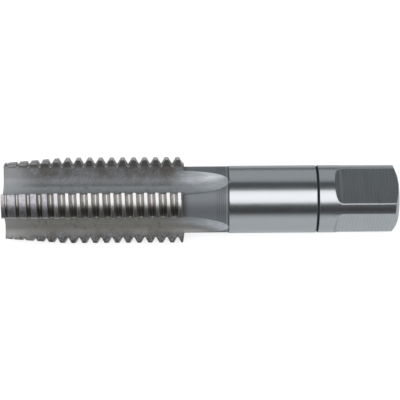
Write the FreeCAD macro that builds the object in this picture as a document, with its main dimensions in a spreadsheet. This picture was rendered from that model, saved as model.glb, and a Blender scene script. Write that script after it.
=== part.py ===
import FreeCAD, Part
import math
import os
import Sketcher

# A four-flute hand tap for cutting a coarse metric thread by hand. It is one
# solid piece of tool steel, so it is one body. The axis lies along X: the tip
# is at the origin, the drive square is at the far end of +X, and +Z is up, with
# the tap lying on two of its four lands.
# All lengths are millimetres and all angles are degrees.

DOCUMENT_NAME = "thread_tap"
BODY_LABEL = "thread_tap"
PARTS_FOLDER = "parts"

doc = FreeCAD.newDocument(DOCUMENT_NAME)

# Driving dimensions.
# Lengths along the axis follow one another from the tip to the drive end, so a
# longer stretch pushes the next one along instead of running into it.
SIZES = [
    # Turned shape of the blank
    ("CrestDiameter", "23.58", "thread crests behind the lead"),
    ("ThreadLength", "48.5", "tip to the end of the thread"),
    ("LeadLength", "16.5", "tapered lead, from the tip"),
    ("LeadDrop", "1.33", "how far the lead lowers the crests at the tip, radial"),
    ("EndFaceLength", "0.4", "axial length of the steep face that ends the thread"),
    ("NeckLength", "12.3", "turned neck, from the end of the thread"),
    ("NeckDiameter", "18.16", "turned neck"),
    ("ShoulderLength", "0.4", "small slope from the neck up to the shank"),
    ("ShankDiameter", "18.5", "ground shank"),
    ("ShankLength", "28.4", "ground shank, up to the run-out of the square"),
    ("SquareLength", "17.4", "drive square with its run-out"),
    ("DriveFaceDiameter", "13.4", "flat face inside the chamfer of the drive end"),
    ("EndChamfer", "1.15", "axial length of that chamfer"),
    # Ring groove that marks the first tap of a set
    ("RingToSquare", "4.6", "ring groove to the run-out of the square"),
    ("RingWidth", "0.6", "ring groove, at the shank surface"),
    ("RingDepth", "0.45", "ring groove, down to its sharp bottom"),
    # Centre holes in both ends
    ("CentreConeDiameter", "5.3", "mouth of each centre hole"),
    ("CentrePilotDiameter", "2.5", "pilot drilling of each centre hole"),
    ("CentreConeAngle", "60", "included angle of each centre hole"),
    ("CentrePilotLength", "1.2", "straight pilot beyond the cone"),
    # Thread
    ("Pitch", "3", "thread pitch"),
    ("ThreadDepth", "1.54", "crest to root, radial"),
    ("FlankAngle", "60", "included angle of the thread groove"),
    ("RootFlat", "0.33", "width of the groove bottom"),
    ("GroovePhase", "0.988", "tip to the first groove centre, straight above the axis"),
    ("CutAllowance", "0.3", "how far the thread and flute cutters stand outside the crests"),
    # Flutes
    ("FluteCount", "4", "straight flutes"),
    ("CoreDiameter", "12", "core left between the flutes"),
    ("FluteRadius", "4.2", "round bottom of each flute"),
    ("FluteTurn", "4.4", "first flute's deepest line, turned back from straight up"),
    ("CuttingEdgeTurn", "23.5", "deepest line to the cutting edge, about the axis"),
    ("HeelTurn", "32.4", "deepest line to the heel, about the axis"),
    ("FluteShortfall", "0.6", "full flute depth ends this far before the thread does"),
    ("CutterRadius", "30", "disc cutter that leaves the flute run-out"),
    # Drive square
    ("SquareWidth", "15", "across the flats of the drive square"),
    ("SquareCorner", "2.1", "radius at the run-out of each flat"),
    ("SquareTurn", "10.7", "first flat, turned back from straight up"),
    ("SquareSides", "4", "flats of the drive square"),
]

SHEET_NAME = "Sizes"
sheet = doc.addObject("Spreadsheet::Sheet", SHEET_NAME)
sheet.set("A1", "Name")
sheet.set("B1", "Value")
sheet.set("C1", "Note")
for row, (alias, value, note) in enumerate(SIZES, start=2):
    sheet.set("A%d" % row, alias)
    sheet.set("B%d" % row, value)
    sheet.set("C%d" % row, note)
    sheet.setAlias("B%d" % row, alias)
doc.recompute()


# Helpers for sketches.
# Every corner is written once, as a pair of expressions. The expressions place
# the line ends and then drive the constraints that hold them.
START, END, CENTRE = range(1, 4)
HORIZONTAL_AXIS, VERTICAL_AXIS = range(-1, -3, -1)
ROOT_POINT = (HORIZONTAL_AXIS, START)


def sized(text):
    """Write each @Name of an expression as a cell of the sheet."""
    return text.replace("@", SHEET_NAME + ".")


def value_of(sketch, text):
    """Work out an expression as a plain number."""
    result = sketch.evalExpression(sized(text))
    return float(getattr(result, "Value", result))


def origin_feature(body, role):
    """Find one of the body's own origin planes or axes."""
    for feature in body.Origin.OriginFeatures:
        if feature.Role == role:
            return feature
    raise RuntimeError("no origin feature " + role)


def new_sketch(body, name, role):
    """Add a sketch on one of the body's own origin planes."""
    sketch = body.newObject("Sketcher::SketchObject", name)
    sketch.AttachmentSupport = [(origin_feature(body, role), "")]
    sketch.MapMode = "FlatFace"
    return sketch


def point_of(sketch, corner):
    """Turn a corner's two expressions into a point of the sketch."""
    return FreeCAD.Vector(value_of(sketch, corner[0]), value_of(sketch, corner[1]), 0)


def hold_point(sketch, geometry, end, corner):
    """Hold a point of the geometry at a corner, through the sheet's sizes."""
    kinds = [("DistanceX", VERTICAL_AXIS), ("DistanceY", HORIZONTAL_AXIS)]
    for (kind, axis), text in zip(kinds, corner):
        if text == "0":
            sketch.addConstraint(Sketcher.Constraint("PointOnObject", geometry, end, axis))
            continue
        distance = value_of(sketch, text)
        held = Sketcher.Constraint(kind, ROOT_POINT[0], ROOT_POINT[1], geometry, end, distance)
        index = sketch.addConstraint(held)
        sketch.setExpression("Constraints[%d]" % index, sized(text))


def hold_radius(sketch, geometry, text):
    """Hold the radius of an arc."""
    radius = value_of(sketch, text)
    index = sketch.addConstraint(Sketcher.Constraint("Radius", geometry, radius))
    sketch.setExpression("Constraints[%d]" % index, sized(text))


def add_outline(sketch, corners):
    """Draw a closed outline of straight lines through the corners."""
    points = [point_of(sketch, corner) for corner in corners]
    count = len(points)
    for index in range(count):
        line = Part.LineSegment(points[index], points[(index + 1) % count])
        sketch.addGeometry(line, False)
    for index in range(count):
        following = (index + 1) % count
        sketch.addConstraint(Sketcher.Constraint("Coincident", index, END, following, START))
    for index in range(count):
        hold_point(sketch, index, START, corners[index])


def place_sketch(sketch, along, turn, axis):
    """Move a sketch off its plane and turn it there, by the sheet's sizes."""
    rotation = FreeCAD.Rotation(axis, value_of(sketch, turn))
    sketch.AttachmentOffset = FreeCAD.Placement(FreeCAD.Vector(0, 0, 0), rotation)
    sketch.setExpression("AttachmentOffset.Rotation.Angle", sized(turn))
    if along:
        sketch.setExpression("AttachmentOffset.Base.z", sized(along))


def expect_less(feature, before, what):
    """Make sure that a cut has removed material."""
    if feature.Shape.isNull() or feature.Shape.Volume >= before:
        raise RuntimeError(what + " removed nothing")
    print(what, "removed", round(before - feature.Shape.Volume, 1), "mm3")


body = doc.addObject("PartDesign::Body", "ThreadTap")
body.Label = BODY_LABEL

# Blank: the turned shape, drawn as half a section above the axis and turned
# once round it. Both centre holes are part of this section.
blank_sketch = new_sketch(body, "BlankProfile", "XZ_Plane")

# Positions along the axis, as running sums from the tip.
NECK_START = "@ThreadLength + @EndFaceLength"
NECK_END = "@ThreadLength + @NeckLength"
SHANK_START = NECK_END + " + @ShoulderLength"
SQUARE_START = SHANK_START + " + @ShankLength"
DRIVE_END = SQUARE_START + " + @SquareLength"
RING_CENTRE = SQUARE_START + " - @RingToSquare"
CONE_DEPTH = "(@CentreConeDiameter - @CentrePilotDiameter) / 2 / tan(@CentreConeAngle / 2 * 1deg)"
PILOT_DEPTH = CONE_DEPTH + " + @CentrePilotLength"

# Radii.
CREST = "@CrestDiameter / 2"
TIP = CREST + " - @LeadDrop"
NECK = "@NeckDiameter / 2"
SHANK = "@ShankDiameter / 2"
PILOT = "@CentrePilotDiameter / 2"
MOUTH = "@CentreConeDiameter / 2"

blank_corners = [
    (PILOT_DEPTH, "0"),
    (PILOT_DEPTH, PILOT),
    (CONE_DEPTH, PILOT),
    ("0", MOUTH),
    ("0", TIP),
    ("@LeadLength", CREST),
    ("@ThreadLength", CREST),
    (NECK_START, NECK),
    (NECK_END, NECK),
    (SHANK_START, SHANK),
    (RING_CENTRE + " - @RingWidth / 2", SHANK),
    (RING_CENTRE, SHANK + " - @RingDepth"),
    (RING_CENTRE + " + @RingWidth / 2", SHANK),
    (DRIVE_END + " - @EndChamfer", SHANK),
    (DRIVE_END, "@DriveFaceDiameter / 2"),
    (DRIVE_END, MOUTH),
    (DRIVE_END + " - (" + CONE_DEPTH + ")", PILOT),
    (DRIVE_END + " - (" + PILOT_DEPTH + ")", PILOT),
    (DRIVE_END + " - (" + PILOT_DEPTH + ")", "0"),
]
add_outline(blank_sketch, blank_corners)
doc.recompute()

blank = body.newObject("PartDesign::Revolution", "Blank")
blank.Profile = blank_sketch
blank.ReferenceAxis = (blank_sketch, ["H_Axis"])
blank.Angle = 360
doc.recompute()
print("blank", round(blank.Shape.Volume, 1), "mm3")

# Flute: a section with a round bottom, a nearly radial cutting face on one side
# and a sloping heel on the other. Both walls leave the round bottom tangentially
# and pass through the points where they meet the crests. The section is drawn
# where the full depth ends, with its deepest line straight up in the sketch.
flute_sketch = new_sketch(body, "FluteSection", "YZ_Plane")
place_sketch(flute_sketch, "@ThreadLength - @FluteShortfall", "@FluteTurn",
             FreeCAD.Vector(0, 0, 1))
doc.recompute()

ARC, CUTTING_WALL, LID, HEEL_WALL, CUTTER_AXIS, CUTTING_POINT, HEEL_POINT = range(7)

CORE = "@CoreDiameter / 2"
ARC_CENTRE = CORE + " + @FluteRadius"
LID_HEIGHT = CREST + " + 6 * @CutAllowance"
CUTTER_CENTRE = CORE + " + @CutterRadius"
cutting_corner = (
    "-(" + CREST + ") * sin(@CuttingEdgeTurn * 1deg)",
    CREST + " * cos(@CuttingEdgeTurn * 1deg)",
)
heel_corner = (
    CREST + " * sin(@HeelTurn * 1deg)",
    CREST + " * cos(@HeelTurn * 1deg)",
)


def tangent_point(centre, radius, target, side):
    """Point of a circle where a tangent through the target touches it."""
    reach = target.sub(centre)
    towards = math.atan2(reach.y, reach.x)
    opening = math.acos(radius / reach.Length)
    angle = towards + side * opening
    point = centre + FreeCAD.Vector(math.cos(angle), math.sin(angle), 0) * radius
    return point, angle


centre = point_of(flute_sketch, ("0", ARC_CENTRE))
radius = value_of(flute_sketch, "@FluteRadius")
cutting_target = point_of(flute_sketch, cutting_corner)
heel_target = point_of(flute_sketch, heel_corner)
cutting_touch, cutting_angle = tangent_point(centre, radius, cutting_target, 1)
heel_touch, heel_angle = tangent_point(centre, radius, heel_target, -1)
lid = value_of(flute_sketch, LID_HEIGHT)


def lid_point(touch, target):
    """Carry the wall from its tangent point through the target to the lid."""
    share = (lid - touch.y) / (target.y - touch.y)
    return touch + (target - touch) * share


cutting_top = lid_point(cutting_touch, cutting_target)
heel_top = lid_point(heel_touch, heel_target)
circle = Part.Circle(centre, FreeCAD.Vector(0, 0, 1), radius)
arc = Part.ArcOfCircle(circle, cutting_angle, 2 * math.pi + heel_angle)
flute_sketch.addGeometry(arc, False)
flute_sketch.addGeometry(Part.LineSegment(cutting_touch, cutting_top), False)
flute_sketch.addGeometry(Part.LineSegment(cutting_top, heel_top), False)
flute_sketch.addGeometry(Part.LineSegment(heel_top, heel_touch), False)
cutter_height = value_of(flute_sketch, CUTTER_CENTRE)
axis_half = value_of(flute_sketch, "@FluteRadius")
axis_start = FreeCAD.Vector(-axis_half, cutter_height, 0)
axis_end = FreeCAD.Vector(axis_half, cutter_height, 0)
flute_sketch.addGeometry(Part.LineSegment(axis_start, axis_end), True)
flute_sketch.addGeometry(Part.Point(cutting_target), True)
flute_sketch.addGeometry(Part.Point(heel_target), True)

constrain = flute_sketch.addConstraint
constrain(Sketcher.Constraint("Tangent", ARC, START, CUTTING_WALL, START))
constrain(Sketcher.Constraint("Coincident", CUTTING_WALL, END, LID, START))
constrain(Sketcher.Constraint("Horizontal", LID))
constrain(Sketcher.Constraint("Coincident", LID, END, HEEL_WALL, START))
constrain(Sketcher.Constraint("Tangent", ARC, END, HEEL_WALL, END))
hold_point(flute_sketch, ARC, CENTRE, ("0", ARC_CENTRE))
hold_radius(flute_sketch, ARC, "@FluteRadius")
hold_point(flute_sketch, CUTTING_POINT, START, cutting_corner)
hold_point(flute_sketch, HEEL_POINT, START, heel_corner)
constrain(Sketcher.Constraint("PointOnObject", CUTTING_POINT, START, CUTTING_WALL))
constrain(Sketcher.Constraint("PointOnObject", HEEL_POINT, START, HEEL_WALL))
lid_index = constrain(Sketcher.Constraint("DistanceY", ROOT_POINT[0], ROOT_POINT[1],
                                          LID, START, lid))
flute_sketch.setExpression("Constraints[%d]" % lid_index, sized(LID_HEIGHT))
hold_point(flute_sketch, CUTTER_AXIS, START, ("-@FluteRadius", CUTTER_CENTRE))
hold_point(flute_sketch, CUTTER_AXIS, END, ("@FluteRadius", CUTTER_CENTRE))
doc.recompute()

# The straight part of the flute runs from that section out through the tip.
flute = body.newObject("PartDesign::Pocket", "Flute")
flute.Profile = flute_sketch
flute.Type = "Length"
flute.Reversed = False
flute.setExpression("Length", sized("@ThreadLength"))
doc.recompute()
expect_less(flute, blank.Shape.Volume, "flute")

# The run-out is the same section swung about the axis of the disc cutter, which
# lies across the tap above the end of the flute.
runout = body.newObject("PartDesign::Groove", "FluteRunout")
runout.Profile = flute_sketch
runout.ReferenceAxis = (flute_sketch, ["Axis0"])
runout.Midplane = True
runout.Angle = 120
doc.recompute()
expect_less(runout, flute.Shape.Volume, "flute run-out")

flutes = body.newObject("PartDesign::PolarPattern", "Flutes")
flutes.Originals = [flute, runout]
flutes.Axis = (origin_feature(body, "X_Axis"), [""])
flutes.Angle = 360
flutes.setExpression("Occurrences", sized("@FluteCount"))
body.Tip = flutes
doc.recompute()
expect_less(flutes, runout.Shape.Volume, "other flutes")

# Thread: one right-hand groove with sixty-degree flanks and a small flat root,
# wound along the axis from ahead of the tip to beyond the end of the thread.
# The crests stay flat where the groove leaves the turned surface, and the lead
# taper makes the groove shallower towards the tip.
thread_sketch = new_sketch(body, "ThreadGroove", "XZ_Plane")
GROOVE_START = "@GroovePhase - @Pitch"
ROOT = CREST + " - @ThreadDepth"
OUTSIDE = CREST + " + @CutAllowance"
HALF_ROOT = "@RootFlat / 2"
HALF_MOUTH = HALF_ROOT + " + (@ThreadDepth + @CutAllowance) * tan(@FlankAngle / 2 * 1deg)"
thread_corners = [
    (GROOVE_START + " - " + HALF_ROOT, ROOT),
    (GROOVE_START + " - (" + HALF_MOUTH + ")", OUTSIDE),
    (GROOVE_START + " + " + HALF_MOUTH, OUTSIDE),
    (GROOVE_START + " + " + HALF_ROOT, ROOT),
]
add_outline(thread_sketch, thread_corners)
doc.recompute()

thread = body.newObject("PartDesign::SubtractiveHelix", "Thread")
thread.Profile = thread_sketch
thread.ReferenceAxis = (thread_sketch, ["H_Axis"])
thread.Mode = 0
thread.LeftHanded = False
thread.Reversed = False
thread.setExpression("Pitch", sized("@Pitch"))
thread.setExpression("Height", sized("@ThreadLength + 2 * @Pitch - @GroovePhase"))
thread.Angle = 0
body.Tip = thread
doc.recompute()
expect_less(thread, flutes.Shape.Volume, "thread")

# Drive square: each flat is cut from the drive end with a round-cornered
# wheel, so it rises to the shank on a small radius. The section lies in a
# plane through the axis and is cut to both sides of it.
square_sketch = new_sketch(body, "SquareFlat", "XZ_Plane")
place_sketch(square_sketch, "", "@SquareTurn", FreeCAD.Vector(1, 0, 0))
doc.recompute()
FLAT = "@SquareWidth / 2"
CORNER_TOP = FLAT + " + @SquareCorner"
RISE = "sqrt(pow(@SquareCorner; 2) - pow(@SquareCorner + " + FLAT + " - " + SHANK + "; 2))"
FLAT_START = SQUARE_START + " + " + RISE
FLAT_END = DRIVE_END + " + @SquareCorner"
corner_centre = (FLAT_START, CORNER_TOP)
arc_top = (FLAT_START + " - @SquareCorner", CORNER_TOP)
flat_begin = (FLAT_START, FLAT)
flat_finish = (FLAT_END, FLAT)
top_finish = (FLAT_END, CORNER_TOP)
corner_circle = Part.Circle(point_of(square_sketch, corner_centre), FreeCAD.Vector(0, 0, 1),
                            value_of(square_sketch, "@SquareCorner"))
square_sketch.addGeometry(Part.ArcOfCircle(corner_circle, math.pi, 1.5 * math.pi), False)
square_points = [point_of(square_sketch, corner)
                 for corner in (flat_begin, flat_finish, top_finish, arc_top)]
for first, second in zip(square_points, square_points[1:]):
    square_sketch.addGeometry(Part.LineSegment(first, second), False)
constrain = square_sketch.addConstraint
constrain(Sketcher.Constraint("Tangent", 0, END, 1, START))
constrain(Sketcher.Constraint("Coincident", 1, END, 2, START))
constrain(Sketcher.Constraint("Coincident", 2, END, 3, START))
constrain(Sketcher.Constraint("Coincident", 3, END, 0, START))
constrain(Sketcher.Constraint("Horizontal", 1))
constrain(Sketcher.Constraint("Vertical", 2))
constrain(Sketcher.Constraint("Horizontal", 3))
hold_radius(square_sketch, 0, "@SquareCorner")
hold_point(square_sketch, 0, CENTRE, corner_centre)
end_index = constrain(Sketcher.Constraint("DistanceX", ROOT_POINT[0], ROOT_POINT[1], 1, END,
                                          value_of(square_sketch, FLAT_END)))
square_sketch.setExpression("Constraints[%d]" % end_index, sized(FLAT_END))
doc.recompute()

flat = body.newObject("PartDesign::Pocket", "SquareSide")
flat.Profile = square_sketch
flat.Type = "Length"
flat.Midplane = True
flat.setExpression("Length", sized("2 * @ShankDiameter"))
body.Tip = flat
doc.recompute()
expect_less(flat, thread.Shape.Volume, "square flat")

square = body.newObject("PartDesign::PolarPattern", "DriveSquare")
square.Originals = [flat]
square.Axis = (origin_feature(body, "X_Axis"), [""])
square.Angle = 360
square.setExpression("Occurrences", sized("@SquareSides"))
body.Tip = square
doc.recompute()
expect_less(square, flat.Shape.Volume, "other flats")

# Every feature has to be sound before anything is written.
for item in doc.Objects:
    for state in item.State:
        if state in ("Invalid", "Error"):
            raise RuntimeError(item.Name + " is " + state)
if body.Shape.isNull() or not body.Shape.isValid():
    raise RuntimeError("the tap's shape is not sound")
if len(body.Shape.Solids) != 1:
    raise RuntimeError("the tap is not one solid")

os.makedirs(PARTS_FOLDER, exist_ok=True)
path = os.path.join(PARTS_FOLDER, body.Label + ".step")
body.Shape.exportStep(path)
print(body.Label, "volume", round(body.Shape.Volume, 1), "mm3")
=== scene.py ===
# %% [markdown]
# # A hand tap, lying on a white table
# A tap cuts a screw thread inside a drilled hole. It is one piece of hardened
# steel, so there is nothing to assemble here. The work of this lesson is in the
# light and in the finish of each stretch of the tool, because the same steel is
# ground bright in one place and left dark and rough in the next.

# %% Load the tap
import math

import bpy
from mathutils import Matrix, Vector

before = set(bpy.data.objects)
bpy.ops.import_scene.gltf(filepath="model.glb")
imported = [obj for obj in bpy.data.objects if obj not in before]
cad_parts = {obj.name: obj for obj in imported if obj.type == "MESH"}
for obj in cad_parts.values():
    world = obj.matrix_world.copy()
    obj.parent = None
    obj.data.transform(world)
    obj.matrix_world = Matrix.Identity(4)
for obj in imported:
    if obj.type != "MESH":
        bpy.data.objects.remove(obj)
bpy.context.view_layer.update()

# %% Deselect what was loaded
bpy.ops.object.select_all(action="DESELECT")
print("selected now:", len(bpy.context.selected_objects))

# %% [markdown]
# ## Sizes that the light and the finishes need
# The axis of the tap is the X axis, and its tip is at the origin. These are the
# real sizes of the stretches that differ in finish, from the tip to the square,
# in millimetres. The ring's half width is a little larger than the real one, so
# that its dark paint, which is partly painted shade, covers the rim. The tap
# rests on the edges of two lands, which lie at the rest angle to either side of
# straight down.

# %% Sizes
MM = 0.001
CREST_RADIUS = 11.79
ROOT_RADIUS = 10.25
LEAD_LENGTH = 16.5
THREAD_LENGTH = 48.5
NECK_RADIUS = 9.08
SHANK_START = 61.2
SHANK_RADIUS = 9.25
RING_PLACE = 85.0
RING_HALF = 0.36
REST_ANGLE = math.radians(28)
TABLE_HEIGHT = -CREST_RADIUS * math.cos(REST_ANGLE) * MM
print("table height in mm:", round(TABLE_HEIGHT / MM, 3))

# %% [markdown]
# ## Camera
# The photograph looks down on the tap at a right angle to its axis, from about
# three and a half times its length. The distance was estimated from the rings
# and crests, which lie a little farther out towards both ends on the near side
# of the tap than on its outline.

# %% Camera
PHOTO_WIDTH = 400
SENSOR_WIDTH = 36
PIXELS_PER_METRE = 3643
CAMERA_DISTANCE = 0.372
CAMERA_ELEVATION = math.radians(52.6)
CAMERA_ROLL = math.radians(0.37)
AIM_ALONG = 53.2 * MM
AIM_BELOW = 0.13 * MM
NEAREST_SEEN = 0.01
FARTHEST_SEEN = 20

towards_camera = Vector((0, -math.cos(CAMERA_ELEVATION), math.sin(CAMERA_ELEVATION)))
picture_up = Vector((0, math.sin(CAMERA_ELEVATION), math.cos(CAMERA_ELEVATION)))
aim = Vector((AIM_ALONG, 0, 0)) - picture_up * AIM_BELOW
camera_data = bpy.data.cameras.new("photo_camera")
camera_data.sensor_width = SENSOR_WIDTH
camera_data.lens = SENSOR_WIDTH * PIXELS_PER_METRE * CAMERA_DISTANCE / PHOTO_WIDTH
camera_data.clip_start = NEAREST_SEEN
camera_data.clip_end = FARTHEST_SEEN
camera = bpy.data.objects.new("photo_camera", camera_data)
bpy.context.scene.collection.objects.link(camera)
camera.location = aim + towards_camera * CAMERA_DISTANCE
facing = towards_camera.to_track_quat("Z", "Y")
camera.rotation_euler = (facing @ Matrix.Rotation(-CAMERA_ROLL, 3, "Z").to_quaternion()).to_euler()
bpy.context.scene.camera = camera
print("lens in mm:", round(camera_data.lens, 1))

# %% [markdown]
# ## Shader maths as Python
# A small class wraps a node's output, so that masks can be written as sums and
# products. One method adds any other kind of node, and a few short ones build
# the things that every finish below uses.


# %% Shader helper
class Wire:
    """An output socket of a node tree, with arithmetic."""

    def __init__(self, tree, socket):
        self.tree = tree
        self.socket = socket

    def maths(self, operation, *values):
        node = self.tree.nodes.new("ShaderNodeMath")
        node.operation = operation
        for socket, value in zip(node.inputs, values):
            plug(self.tree, socket, value)
        return Wire(self.tree, node.outputs[0])

    def __add__(self, other):
        return self.maths("ADD", self, other)

    __radd__ = __add__

    def __sub__(self, other):
        return self.maths("SUBTRACT", self, other)

    def __rsub__(self, other):
        return self.maths("SUBTRACT", other, self)

    def __mul__(self, other):
        return self.maths("MULTIPLY", self, other)

    __rmul__ = __mul__

    def __truediv__(self, other):
        return self.maths("DIVIDE", self, other)

    def __abs__(self):
        return self.maths("ABSOLUTE", self)

    def __pow__(self, power):
        return self.maths("POWER", self, power)


def plug(tree, socket, value):
    """Link a wire to a socket, or write a plain value on it."""
    if isinstance(value, Wire):
        tree.links.new(value.socket, socket)
    elif value is not None:
        socket.default_value = value


class Recipe:
    """The node tree of a material or of the world, with one way to add nodes."""

    def __init__(self, tree):
        self.tree = tree
        tree.nodes.clear()

    def node(self, kind, settings=None, output=0, **sockets):
        """Add a node. A socket is given by name, or by its number after an underscore."""
        made = self.tree.nodes.new("ShaderNode" + kind)
        for name, value in (settings or {}).items():
            setattr(made, name, value)
        for name, value in sockets.items():
            key = int(name[1:]) if name[0] == "_" else name.replace("_", " ")
            plug(self.tree, made.inputs[key], value)
        return Wire(self.tree, made.outputs[output])

    def step(self, value, start, end):
        """A mask that rises smoothly from 0 at start to 1 at end."""
        return self.node("MapRange", {"interpolation_type": "SMOOTHSTEP"},
                         Value=value, From_Min=start, From_Max=end)

    def band(self, value, start, end, soft):
        """A mask that is 1 between start and end, with soft edges."""
        rise = self.step(value, start - soft, start + soft)
        fall = self.step(value, end + soft, end - soft)
        return rise * fall

    def blend(self, share, low, high):
        """A number that goes from low to high as the share goes from 0 to 1."""
        return low + share * (high - low)

    def tint(self, share, low, high):
        """A colour that goes from low to high as the share goes from 0 to 1."""
        return self.node("Mix", {"data_type": "RGBA"}, output=2, _0=share, _6=low, _7=high)

    def noise(self, place, scale, detail=3.0, roughness=0.55):
        """Cloudy noise from 0 to 1, with its scale per millimetre."""
        return self.node("TexNoise", Vector=place, Scale=scale, Detail=detail, Roughness=roughness)

    def finish(self, surface, kind="OutputMaterial"):
        """Send the finished surface to the output."""
        made = self.tree.nodes.new("ShaderNode" + kind)
        plug(self.tree, made.inputs["Surface"], surface)


def new_material(name):
    """An empty material and the recipe that fills it."""
    material = bpy.data.materials.new(name)
    material.use_nodes = True
    return material, Recipe(material.node_tree)


# %% [markdown]
# ## Table
# The tap lies on a large white table. The table keeps the soft shadow, and a
# glow that only the camera and mirrors see keeps it white around the tap.

# %% Table
TABLE_SIZE = 6
TABLE_COLOUR = (0.775, 0.80, 0.81, 1)
CAMERA_GLOW = 0.75
MIRROR_GLOW = 0.2
GLOW_START = 0.04
GLOW_END = 0.13
bpy.ops.mesh.primitive_plane_add(size=TABLE_SIZE, location=(AIM_ALONG, 0, TABLE_HEIGHT))
table = bpy.context.object
table.name = "table"
table_material, recipe = new_material("white_table")
seen_by_camera = recipe.node("LightPath", output="Is Camera Ray")
seen_in_gloss = recipe.node("LightPath", output="Is Glossy Ray")
seen_through = recipe.node("LightPath", output="Is Transmission Ray")
table_place = recipe.node("TexCoord", output="Object")
from_tap = recipe.node("SeparateXYZ", output="Y", Vector=table_place)
near_tap = recipe.step(abs(from_tap), GLOW_END, GLOW_START)
mirrored = (seen_in_gloss + seen_through) * near_tap
glow_strength = seen_by_camera * CAMERA_GLOW + mirrored * MIRROR_GLOW
diffuse = recipe.node("BsdfDiffuse", Color=TABLE_COLOUR)
glow = recipe.node("Emission", Color=(1, 1, 1, 1), Strength=glow_strength)
recipe.finish(recipe.node("AddShader", _0=diffuse, _1=glow))
table.data.materials.append(table_material)
print("table at", round(table.location.z, 5), "m")

# %% [markdown]
# ## Light
# Two long soft boxes lie along the tap. The bright one stands above the camera
# and draws the bright band along every round stretch. The dim one stands behind
# and greys the back of the tool. Between them and below them it is dark, which
# gives the steel its two dark bands. A strip of very dim blue light overhead
# keeps the upper one from going brown.

# %% Lamps
LAMP_DISTANCE = 0.6
LAMP_LENGTH = 1.2


def soft_box(name, elevation, spread, radiance, colour):
    """A long area lamp that faces the tap and covers a range of elevations."""
    data = bpy.data.lights.new(name, "AREA")
    data.shape = "RECTANGLE"
    data.size = LAMP_LENGTH
    data.size_y = 2 * LAMP_DISTANCE * math.tan(math.radians(spread) / 2)
    data.energy = math.pi * radiance * data.size * data.size_y
    data.color = colour
    lamp = bpy.data.objects.new(name, data)
    bpy.context.scene.collection.objects.link(lamp)
    angle = math.radians(elevation)
    away = Vector((0, -math.cos(angle), math.sin(angle)))
    lamp.location = Vector((AIM_ALONG, 0, 0)) + away * LAMP_DISTANCE
    lamp.rotation_euler = away.to_track_quat("Z", "Y").to_euler()
    print(name, "energy", round(data.energy, 2))
    return lamp


KEY_COLOUR = (1.0, 0.99, 0.99)
BACK_COLOUR = (0.94, 0.99, 1.0)
STRIP_COLOUR = (0.45, 0.85, 1.0)
soft_box("key_box", elevation=60, spread=42.5, radiance=1.58, colour=KEY_COLOUR)
soft_box("back_box", elevation=142.5, spread=59, radiance=0.43, colour=BACK_COLOUR)
soft_box("top_strip", elevation=97, spread=30, radiance=0.018, colour=STRIP_COLOUR)

# %% [markdown]
# ## The dim room
# Whatever stands around the table is far away and dim, and a little warm. It is
# what the dark bands of the steel mirror.

# %% World
WORLD_COLOUR = (1.0, 0.965, 0.96, 1)
WORLD_STRENGTH = 0.05
world = bpy.data.worlds.new("studio")
world.use_nodes = True
bpy.context.scene.world = world
recipe = Recipe(world.node_tree)
recipe.finish(recipe.node("Background", Color=WORLD_COLOUR, Strength=WORLD_STRENGTH), "OutputWorld")
print("world strength", WORLD_STRENGTH)

# %% [markdown]
# ## Where each finish lies
# The finishes follow the shape, so their masks come from the place on the tap
# and from the way its surface faces. The distance from the axis tells crests
# from roots, and a surface that doesn't face straight away from the axis, and
# doesn't face along it either, is the wall of a flute.

# %% Masks
steel, recipe = new_material("tool_steel")
place = recipe.node("TexCoord", output="Object")
place_mm = recipe.node("VectorMath", {"operation": "SCALE"}, Vector=place, Scale=1 / MM)
facing_way = recipe.node("TexCoord", output="Normal")


def parts_of(vector):
    """The three parts of a vector."""
    return [recipe.node("SeparateXYZ", output=axis, Vector=vector) for axis in "XYZ"]


def inside_any(*masks):
    """A mask that is on where any of the masks is on."""
    outside = 1 - masks[0]
    for mask in masks[1:]:
        outside = outside * (1 - mask)
    return 1 - outside


along, across, up = parts_of(place_mm)
face_along, face_across, face_up = parts_of(facing_way)
radius = (across * across + up * up) ** 0.5
outward = (face_across * across + face_up * up) / radius
sideways_turn = (face_up * across - face_across * up) / radius
turn = up.maths("ARCTAN2", up, across)

in_thread = recipe.step(along, THREAD_LENGTH + 0.5, THREAD_LENGTH + 0.3)
past_shoulder = recipe.step(along, SHANK_START - 0.25, SHANK_START - 0.1)
on_neck = (1 - in_thread) * (1 - past_shoulder)
turned_away = recipe.step(outward, 0.8, 0.65)
along_wall = recipe.step(abs(face_along), 0.5, 0.3)
below_roots = recipe.step(radius, ROOT_RADIUS - 0.05, ROOT_RADIUS - 0.1)
below_neck = recipe.step(radius, NECK_RADIUS - 0.03, NECK_RADIUS - 0.06)
in_flute = inside_any(in_thread * inside_any(below_roots, turned_away * along_wall),
                      on_neck * below_neck)
in_groove = in_thread * (1 - in_flute)
on_root = in_groove * recipe.step(radius, ROOT_RADIUS + 0.1, ROOT_RADIUS + 0.04)
on_flank = in_groove * recipe.step(abs(face_along), 0.3, 0.5)
in_lead = in_thread * recipe.step(along, LEAD_LENGTH + 1, LEAD_LENGTH - 5)
past_ring = recipe.step(along, RING_PLACE + 2, RING_PLACE + 3)
below_shank = recipe.step(radius, SHANK_RADIUS - 0.04, SHANK_RADIUS - 0.08)
in_ring = recipe.band(along, RING_PLACE - RING_HALF, RING_PLACE + RING_HALF, 0.06)
off_round = recipe.step(outward, 0.995, 0.98) * (1 - recipe.step(abs(face_along), 0.2, 0.3))
on_flat = past_ring * inside_any(below_shank, off_round)
print("mask nodes:", len(steel.node_tree.nodes))
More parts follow.
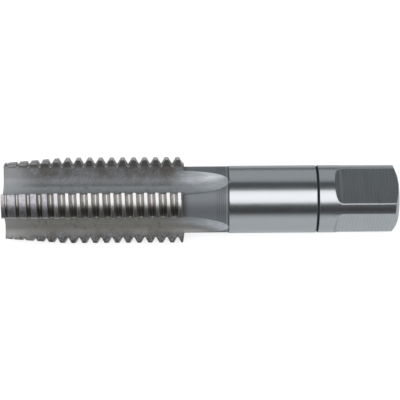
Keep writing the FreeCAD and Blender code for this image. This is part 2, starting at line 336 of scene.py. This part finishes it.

# %% [markdown]
# ## Rounded and worn edges
# A sharp edge of a real tool is a tiny round that catches the light. The Bevel
# node bends the normals beside an edge in that way. Where the bent normal and
# the true one differ, the surface lies at an edge, and that is a mask for the
# light line along the heel edges of the lands. That line is partly wear and
# partly a painted highlight.

# %% Edges
EDGE_RADIUS = 0.26
FLAT_EDGE_RADIUS = 0.45
WORN_REACH = 0.6
BEVEL_SAMPLES = 6
WORN_BELOW = 11.4
WORN_FULLY_BELOW = 11.0
true_normal = recipe.node("NewGeometry", output="Normal")
fine_edges = recipe.node("Bevel", {"samples": BEVEL_SAMPLES}, Radius=EDGE_RADIUS * MM)
flat_edges = recipe.node("Bevel", {"samples": BEVEL_SAMPLES}, Radius=FLAT_EDGE_RADIUS * MM)
worn_edges = recipe.node("Bevel", {"samples": BEVEL_SAMPLES}, Radius=WORN_REACH * MM)
rounded = recipe.node("Mix", {"data_type": "VECTOR"}, output=1,
                      _0=past_ring, _4=fine_edges, _5=flat_edges)
bend = recipe.node("VectorMath", {"operation": "SUBTRACT"}, _0=worn_edges, _1=true_normal)
bend_across, bend_up = parts_of(bend)[1:]
bend_turn = (bend_up * across - bend_across * up) / radius
bend_out = (bend_across * across + bend_up * up) / radius
on_heel_wall = recipe.step(sideways_turn, 0.3, 0.6)
land_side = recipe.step(bend_turn, 0.04, 0.16) * recipe.step(outward, 0.3, 0.45)
wall_side = recipe.step(bend_out, 0.1, 0.35) * on_heel_wall
low_edge = recipe.step(radius, WORN_BELOW, WORN_FULLY_BELOW)
edge_place = in_thread * inside_any(low_edge, recipe.step(along, LEAD_LENGTH + 3, LEAD_LENGTH))
# Mask of the light edge line, which is partly wear and partly a painted highlight.
worn_edge_and_highlight = edge_place * inside_any(land_side, wall_side)
rub_turn = bend_turn.maths("MAXIMUM", bend_turn, 0) * edge_place
rub_out = bend_out * edge_place * on_heel_wall
rubbed = recipe.node("CombineXYZ", Y=(across * rub_out - up * rub_turn) / radius,
                    Z=(up * rub_out + across * rub_turn) / radius)
edged = recipe.node("VectorMath", {"operation": "ADD"}, _0=rounded, _1=rubbed)
edge_normal = recipe.node("VectorMath", {"operation": "NORMALIZE"}, _0=edged)


# %% [markdown]
# ## Layers of finish
# A skin keeps what the surface has so far. Each finish is then laid over it
# where its mask is on, as a coat is laid over metal.


# %% Skin
class Skin:
    """Colour, roughness and share of bare metal, as laid down so far."""

    def __init__(self, colour, rough, metal):
        self.colour = colour
        self.rough = rough
        self.metal = metal

    def lay(self, share, colour=None, rough=None, metal=None):
        """Lay a finish over the skin where the share is above 0."""
        if colour is not None:
            self.colour = recipe.tint(share, self.colour, colour)
        if rough is not None:
            self.rough = recipe.blend(share, self.rough, rough)
        if metal is not None:
            self.metal = recipe.blend(share, self.metal, metal)


# %% [markdown]
# ## Ground steel
# The shank and the crests are ground round on centres. Grinding leaves fine
# lines that run around the tap, so the noise is squeezed along the axis and
# stretched around it. They blur the light band a little from place to place.

# %% Ground steel
GROUND_COLOUR = (0.545, 0.57, 0.592, 1)
CREST_COLOUR = (0.60, 0.60, 0.603, 1)
GROUND_ROUGHNESS = 0.25
BARE_METAL = 1.0
GRINDING_HEIGHT = 0.0015
around = recipe.node("CombineXYZ", X=along, Y=turn * 0.6, Z=radius * 0.05)
grinding_lines = recipe.noise(around, 5.0, detail=4.0)
soft_cloud = recipe.noise(place_mm, 0.15, detail=2.0)
ground_rough = GROUND_ROUGHNESS + (grinding_lines - 0.5) * 0.06 + (soft_cloud - 0.5) * 0.04
skin = Skin(GROUND_COLOUR, ground_rough, BARE_METAL)
skin.lay(in_thread, CREST_COLOUR)
height = (grinding_lines - 0.5) * GRINDING_HEIGHT

# %% [markdown]
# ## Lead
# The tapered lead is ground in a step of its own. Its crests are duller than the
# others in the photograph and a little stained, so noise mixes two greys there.

# %% Lead
LEAD_COLOUR = (0.46, 0.455, 0.49, 1)
LEAD_STAIN = (0.27, 0.27, 0.295, 1)
LEAD_ROUGHNESS = 0.3
LEAD_METAL = 0.88
lead_cloud = recipe.noise(place_mm, 1.2, detail=4.0, roughness=0.7)
lead_colour = recipe.tint(recipe.step(lead_cloud, 0.4, 0.7), LEAD_COLOUR, LEAD_STAIN)
skin.lay(in_lead, lead_colour, LEAD_ROUGHNESS, LEAD_METAL)

# %% [markdown]
# ## Dark flutes
# The flutes keep the dark skin of heat treatment, because only the lands are
# ground after it. The skin is dull and blotchy, warm in one place and bluish in
# the next, and chips have left curled scratches in it. It gets thinner near the
# tip and towards the run-out, where the disc that cut the flute came out of the
# steel and left a brighter patch with fine strokes. Towards the flute floor the
# colour is lighter. The cutting walls get painted light. On the lower side of
# the tap the floors, the cutting walls, the heel walls and the tip take a
# painted olive reflection of the table.

# %% Dark flutes
FLUTE_WARM = (0.12, 0.113, 0.105, 1)
FLUTE_COOL = (0.20, 0.213, 0.227, 1)
FLUTE_BOTTOM = (0.255, 0.27, 0.285, 1)
FLUTE_TABLE_REFLECTION = (0.47, 0.46, 0.425, 1)
CUTTING_SIDE_PAINTED_LIGHT = (0.53, 0.552, 0.57, 1)
CUTTING_SIDE_TABLE_REFLECTION = (0.42, 0.41, 0.376, 1)
FLUTE_SCRATCH = (0.34, 0.34, 0.355, 1)
TIP_COOL = (0.69, 0.72, 0.755, 1)
TIP_TABLE_REFLECTION = (0.49, 0.495, 0.49, 1)
FLUTE_ROUGHNESS = 0.55
FLUTE_METAL = 0.6
FLUTE_TOP = 9.5
FLUTE_FLOOR = 6.2
TABLE_REFLECTION_UP_TO = 1
NO_TABLE_REFLECTION_FROM = 5
TIP_FADES_AT = 11
TIP_FULL_AT = 0.5
BLOTCH_HEIGHT = 0.03
CHIP_MARK_HEIGHT = 0.01
cloud = recipe.noise(place_mm, 0.22, detail=3.0)
blotch = recipe.noise(place_mm, 0.7, detail=5.0, roughness=0.75)
grain = recipe.noise(place_mm, 2.4, detail=3.0, roughness=0.6)
curl = recipe.noise(place_mm, 0.5, detail=1.0)
curled = recipe.node("VectorMath", {"operation": "ADD"}, _0=place_mm,
                     _1=recipe.node("CombineXYZ", X=curl * 3, Y=curl * 2, Z=curl))
chip_marks = recipe.noise(curled, 1.8, detail=2.0)
scratched = recipe.step(chip_marks, 0.55, 0.66) * recipe.step(cloud, 0.45, 0.55)
flute_colour = recipe.tint(recipe.step(cloud, 0.35, 0.65), FLUTE_WARM, FLUTE_COOL)
low_in_flute = recipe.step(radius, FLUTE_TOP, FLUTE_FLOOR)
on_cutting_side = recipe.step(sideways_turn, 0.4, 0.0)
# The upper side of the tap. Below it the flute colours take a painted olive reflection of the
# table.
painted_light_upper_side = recipe.step(up, TABLE_REFLECTION_UP_TO, NO_TABLE_REFLECTION_FROM)
floor_colour_with_reflection = recipe.tint(painted_light_upper_side, FLUTE_TABLE_REFLECTION, FLUTE_BOTTOM)
cutting_side_painted_colour = recipe.tint(painted_light_upper_side, CUTTING_SIDE_TABLE_REFLECTION, CUTTING_SIDE_PAINTED_LIGHT)
tip_colour_with_reflection = recipe.tint(painted_light_upper_side, TIP_TABLE_REFLECTION, TIP_COOL)
flute_colour = recipe.tint(low_in_flute * 0.8, flute_colour, floor_colour_with_reflection)
# Painted light: the cutting walls are made brighter, most of all low in the flute.
cutting_side_light_share = on_cutting_side * (low_in_flute * 0.7 + 0.15)
flute_colour = recipe.tint(cutting_side_light_share, flute_colour, cutting_side_painted_colour)
# Painted light: the heel walls on the lower side take the olive table reflection.
painted_lit_wall = (1 - painted_light_upper_side) * on_heel_wall
flute_colour = recipe.tint(painted_lit_wall * 0.3, flute_colour, FLUTE_TABLE_REFLECTION)
light_spots = recipe.step(blotch, 0.5, 0.68) * 0.45 + recipe.step(grain, 0.5, 0.7) * 0.25
dark_spots = recipe.step(blotch, 0.5, 0.33) * 0.4 + recipe.step(grain, 0.5, 0.3) * 0.3
flute_colour = recipe.tint(light_spots, flute_colour, FLUTE_SCRATCH)
flute_colour = recipe.tint(dark_spots, flute_colour, FLUTE_WARM)
flute_colour = recipe.tint(scratched * 0.7, flute_colour, FLUTE_SCRATCH)
near_tip = recipe.step(along, TIP_FADES_AT, TIP_FULL_AT) * (1 - on_heel_wall * 0.35)
# Near the tip the skin is lighter. On the lower side that colour is a painted reflection of the
# table.
flute_colour = recipe.tint(near_tip * 0.75, flute_colour, tip_colour_with_reflection)
skin.lay(in_flute, flute_colour, FLUTE_ROUGHNESS + (blotch - 0.5) * 0.2, FLUTE_METAL)
still_dark = in_flute * recipe.step(along, THREAD_LENGTH + 2, THREAD_LENGTH - 6)
skin_height = (blotch - 0.5) * BLOTCH_HEIGHT + (chip_marks - 0.5) * CHIP_MARK_HEIGHT
height = height + still_dark * skin_height

# %% [markdown]
# ## Tooth faces
# The walls of the teeth hold the darkest skin of the tap. On the heel walls,
# which trail as the tap turns, that dark colour is partly skin and partly
# painted shade. On the cutting walls it is broken into small dark marks, and
# darker along the tooth tips.

# %% Tooth faces
TOOTH_FACE_SKIN_AND_SHADE = (0.06, 0.058, 0.057, 1)
in_teeth = recipe.step(radius, ROOT_RADIUS - 0.6, ROOT_RADIUS + 0.3)
# Partly dark skin, partly painted shade, on the heel walls of the teeth.
heel_face_skin_and_shade = in_flute * in_thread * on_heel_wall * in_teeth
skin.lay(heel_face_skin_and_shade * (0.5 + blotch * 0.5), TOOTH_FACE_SKIN_AND_SHADE)
on_cutting_face = in_flute * in_thread * recipe.step(sideways_turn, -0.3, -0.6)
at_teeth = recipe.step(radius, ROOT_RADIUS - 0.8, ROOT_RADIUS + 0.2)
rough_marks = recipe.step(recipe.noise(place_mm, 1.6, detail=2.0), 0.52, 0.44)
at_tooth_tip = recipe.step(radius, CREST_RADIUS - 0.7, CREST_RADIUS - 0.2)
cutting_marks = inside_any(at_teeth * rough_marks * 0.7, at_tooth_tip * 0.6)
skin.lay(on_cutting_face * cutting_marks, TOOTH_FACE_SKIN_AND_SHADE)

# %% [markdown]
# ## Flute run-outs
# Each flute ends in a shallow hollow on the neck, where the disc left the steel
# on an arc. The disc rubs there more than it cuts, so the hollow is bright, with
# fine strokes along the tap. The brightness starts low among the last teeth. The
# heel wall of the hollow gets a painted highlight, and its cutting wall a painted
# shade.

# %% Flute run-outs
RUNOUT_COLOUR = (0.44, 0.467, 0.497, 1)
RUNOUT_LIGHT = (0.80, 0.84, 0.88, 1)
RUNOUT_PAINTED_SHADE = (0.33, 0.325, 0.303, 1)
RUNOUT_ROUGHNESS = 0.5
RUNOUT_METAL = 0.6
STROKE_HEIGHT = 0.004
stroke_place = recipe.node("CombineXYZ", X=along * 0.1, Y=across, Z=up)
strokes = recipe.noise(stroke_place, 2.2, detail=2.0)
past_thread = recipe.step(along + (cloud - 0.5) * 5, THREAD_LENGTH - 5, THREAD_LENGTH + 4)
by_the_teeth = in_thread * recipe.step(radius, NECK_RADIUS - 1, NECK_RADIUS + 0.4)
towards_runout = in_flute * past_thread * (1 - by_the_teeth)
late_runout = recipe.step(along, THREAD_LENGTH + 3, THREAD_LENGTH + 9)
# Painted light and shade: the heel wall of the hollow is lit, the cutting side shaded.
runout_painted_lit_wall = recipe.step(sideways_turn, 0.3, 0.8)
runout_painted_shade_side = recipe.step(sideways_turn, 0, -0.7)
runout_light = recipe.step(strokes, 0.35, 0.65) * 0.3 + late_runout * (0.6 - runout_painted_shade_side * 0.25)
runout_light = runout_light + late_runout * runout_painted_lit_wall * 0.25
runout_colour = recipe.tint(runout_light, RUNOUT_COLOUR, RUNOUT_LIGHT)
# Painted shade on the steep cutting wall of the hollow.
painted_shade_cutting_wall = recipe.step(sideways_turn, -0.6, -0.9)
runout_colour = recipe.tint(painted_shade_cutting_wall * 0.65, runout_colour, RUNOUT_PAINTED_SHADE)
skin.lay(towards_runout, runout_colour, RUNOUT_ROUGHNESS + (strokes - 0.5) * 0.1, RUNOUT_METAL)
height = height + towards_runout * (strokes - 0.5) * STROKE_HEIGHT

# %% [markdown]
# ## Thread grooves
# The grooves are cut by a narrow wheel with a shaped rim. Their flanks are a
# little brown and rougher than the crests, with fine lines along the groove.
# Each groove is painted darker near the heel of its land, as painted shade,
# and fine dirt stays all along the narrow grooves of the lead.

# %% Thread grooves
FLANK_COLOUR = (0.63, 0.62, 0.61, 1)
ROOT_COLOUR = (0.56, 0.55, 0.537, 1)
GROOVE_DIRT_AND_SHADE = (0.17, 0.163, 0.155, 1)
FLANK_ROUGHNESS = 0.33
ROOT_ROUGHNESS = 0.26
HEEL_SHADE_SHARE = 0.65
LEAD_DIRT_SHARE = 0.3
QUARTER_TURN = math.pi / 2
DIRT_START = math.radians(42)
DIRT_FULL = math.radians(53)
groove_lines = recipe.noise(around, 9.0, detail=2.0)
skin.lay(on_flank, FLANK_COLOUR, FLANK_ROUGHNESS + (groove_lines - 0.5) * 0.2, BARE_METAL)
skin.lay(on_root, ROOT_COLOUR, ROOT_ROUGHNESS, BARE_METAL)
land_turn = turn.maths("FLOORED_MODULO", turn, QUARTER_TURN)
# Painted shade: each groove darkens towards the heel of its land.
heel_side_shade = recipe.step(land_turn, DIRT_START, DIRT_FULL)
in_cut = inside_any(on_flank, on_root)
skin.lay(in_cut * heel_side_shade * HEEL_SHADE_SHARE, GROOVE_DIRT_AND_SHADE)
skin.lay(in_cut * in_lead * LEAD_DIRT_SHARE, GROOVE_DIRT_AND_SHADE)

# %% [markdown]
# ## Worn edges and a painted highlight
# A thin light line follows the heel edge of each land. Its colour is partly
# wear, as on an edge that was rubbed bright when it was cleaned, and partly a
# painted highlight of the rounded edge. It is clearest on the lead. It is laid
# on the mask of bent normals, so that it turns round every tooth with the edge.

# %% Worn edges and painted highlight
WORN_AND_HIGHLIGHT_COLOUR = (0.88, 0.87, 0.84, 1)
WORN_ROUGHNESS = 0.4
WORN_METAL = 0.7
WORN_AND_HIGHLIGHT_SHARE = 0.72
# The light edge colour is partly wear and partly a painted highlight of the rounded edge.
skin.lay(worn_edge_and_highlight * WORN_AND_HIGHLIGHT_SHARE, WORN_AND_HIGHLIGHT_COLOUR, WORN_ROUGHNESS, WORN_METAL)

# %% [markdown]
# ## Neck
# The neck is only turned and hardened, so it is dull, with the fine rings of
# the turning tool near the shoulder. The corner beside the last thread and a
# narrow band just before the shoulder are darkened with painted shade.

# %% Neck
NECK_COLOUR = (0.25, 0.272, 0.297, 1)
RING_ZONE_COLOUR = (0.20, 0.215, 0.232, 1)
NECK_CORNER_SHADE = (0.04, 0.042, 0.045, 1)
NECK_ROUGHNESS = 0.5
NECK_METAL = 0.5
TURNED_PITCH = 0.52
TURNED_START = 57.6
TURNED_HEIGHT = 0.012
bare_neck = on_neck * (1 - below_neck)
neck_noise = recipe.noise(around, 1.6)
ring_phase = (along - TURNED_START) * (2 * math.pi / TURNED_PITCH)
turned_rings = ring_phase.maths("COSINE", ring_phase)
ring_zone = bare_neck * recipe.step(along, TURNED_START - 0.2, TURNED_START)
# Painted shade in the corner beside the last thread and in a band before the shoulder.
painted_corner_shade = bare_neck * recipe.step(along, THREAD_LENGTH + 1.9, THREAD_LENGTH + 0.2)
shoulder_shade_band = recipe.band(along, SHANK_START - 0.42, SHANK_START - 0.1, 0.08)
bright_line = bare_neck * recipe.band(along, SHANK_START - 1.0, SHANK_START - 0.6, 0.1)
skin.lay(bare_neck, NECK_COLOUR, NECK_ROUGHNESS + (neck_noise - 0.5) * 0.15, NECK_METAL)
skin.lay(ring_zone, RING_ZONE_COLOUR)
skin.lay(ring_zone * (0.5 + turned_rings * 0.5) * 0.16, GROUND_COLOUR)
skin.lay(bright_line * 0.35, GROUND_COLOUR)
skin.lay(painted_corner_shade * 0.5, NECK_CORNER_SHADE)
skin.lay(shoulder_shade_band * 0.7, NECK_CORNER_SHADE)
height = height + ring_zone * turned_rings * TURNED_HEIGHT

# %% [markdown]
# ## Ring groove
# The ring groove marks the first tap of a set. Its dark colour is partly the
# dark skin it holds and partly painted shade, because it is too narrow for
# light to reach its bottom.

# %% Ring groove
RING_SKIN_AND_SHADE = (0.055, 0.062, 0.068, 1)
RING_ROUGHNESS = 0.6
RING_METAL = 0.3
# Painted shade, over the dark skin of the groove.
skin.lay(in_ring, RING_SKIN_AND_SHADE, RING_ROUGHNESS, RING_METAL)

# %% [markdown]
# ## Flats of the square
# Each flat is ground by a wheel that crosses the tap, so its strokes run across
# the axis and make a faint row of stripes. The round start of each flat, where
# the wheel's corner cut, gets duller as it rises to the shank.

# %% Flats
STRIPE_PITCH = 0.9
STRIPE_HEIGHT = 0.003
FINE_STRIPE_HEIGHT = 0.002
FLAT_COLOUR = (0.49, 0.518, 0.54, 1)
FLAT_STRIPE = (0.56, 0.59, 0.615, 1)
FLAT_ROUGHNESS = 0.29
FLAT_START_COLOUR = (0.50, 0.53, 0.56, 1)
FLAT_START_ROUGHNESS = 0.6
FLAT_START_METAL = 0.6
FLAT_START_SHARE = 0.6
FLAT_START_ENDS = 97
FLAT_START_FULL = 95
wobble = recipe.noise(place_mm, 0.25, detail=2.0)
stripe_phase = (along + wobble * 0.8) * (2 * math.pi / STRIPE_PITCH)
stripes = stripe_phase.maths("SINE", stripe_phase)
across_only = recipe.node("CombineXYZ", X=along, Y=across * 0.08, Z=up * 0.08)
fine_stripes = recipe.noise(across_only, 2.6)
stripe_height = stripes * STRIPE_HEIGHT + (fine_stripes - 0.5) * FINE_STRIPE_HEIGHT
height = height + on_flat * stripe_height
stripe_share = recipe.step(stripes * 0.2 + fine_stripes, 0.1, 0.9)
flat_colour = recipe.tint(stripe_share, FLAT_COLOUR, FLAT_STRIPE)
skin.lay(on_flat, flat_colour, FLAT_ROUGHNESS + (fine_stripes - 0.5) * 0.08)
before_flat = recipe.step(along, FLAT_START_ENDS, FLAT_START_FULL)
curved_start = on_flat * recipe.step(abs(face_along), 0.3, 0.85) * before_flat
skin.lay(curved_start * FLAT_START_SHARE, FLAT_START_COLOUR, FLAT_START_ROUGHNESS, FLAT_START_METAL)

# %% [markdown]
# ## One steel
# All the layers end in one shader, with the small heights as a bump on the
# rounded normals, and the whole tap is given that one material.

# %% Steel
bump = recipe.node("Bump", Height=height, Distance=MM, Normal=edge_normal)
bsdf = recipe.node("BsdfPrincipled", Base_Color=skin.colour, Metallic=skin.metal,
                   Roughness=skin.rough, Normal=bump)
recipe.finish(bsdf)
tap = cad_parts["thread_tap"]
for slot in tap.material_slots:
    slot.material = steel
if not tap.material_slots:
    tap.data.materials.append(steel)
print("tap triangles:", len(tap.data.polygons), "steel nodes:", len(steel.node_tree.nodes))

# %% Plain colours
bpy.context.scene.view_settings.view_transform = "Standard"
print("view transform:", bpy.context.scene.view_settings.view_transform)
